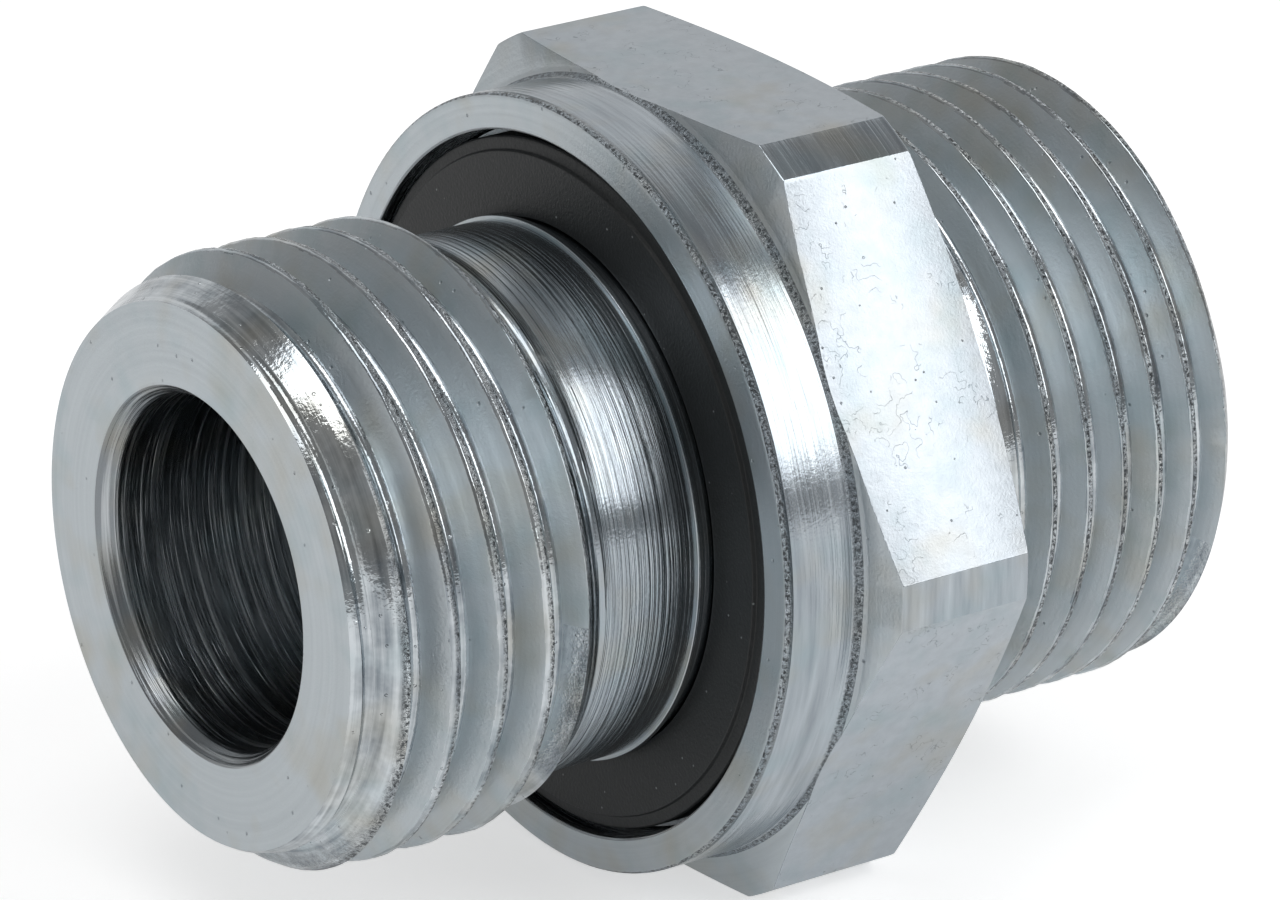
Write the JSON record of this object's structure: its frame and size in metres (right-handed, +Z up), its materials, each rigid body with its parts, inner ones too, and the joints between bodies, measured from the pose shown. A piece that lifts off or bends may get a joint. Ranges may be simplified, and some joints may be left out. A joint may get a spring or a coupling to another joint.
{
  "type": "male stud coupling",
  "caption": "Straight male stud coupling: threaded stud with a captive seal ring in its collar, a spanner hexagon, and a threaded tube end with an internal sealing cone.",
  "frame": {"origin": "on the coupling's axis, in the plane of the collar's sealing face", "axes": "+X along the axis from the stud towards the tube end, +Z up, square to the hexagon's top flat"},
  "size_m": [0.0348, 0.0302, 0.027],
  "materials": {
    "zinc_plated_steel": "turned steel, bright zinc plated and clear passivated",
    "nitrile_rubber": "matte moulded"
  },
  "bodies": {
    "root": {"body": "zinc_plated_steel", "seal_ring": "nitrile_rubber"}
  },
  "joints": []
}
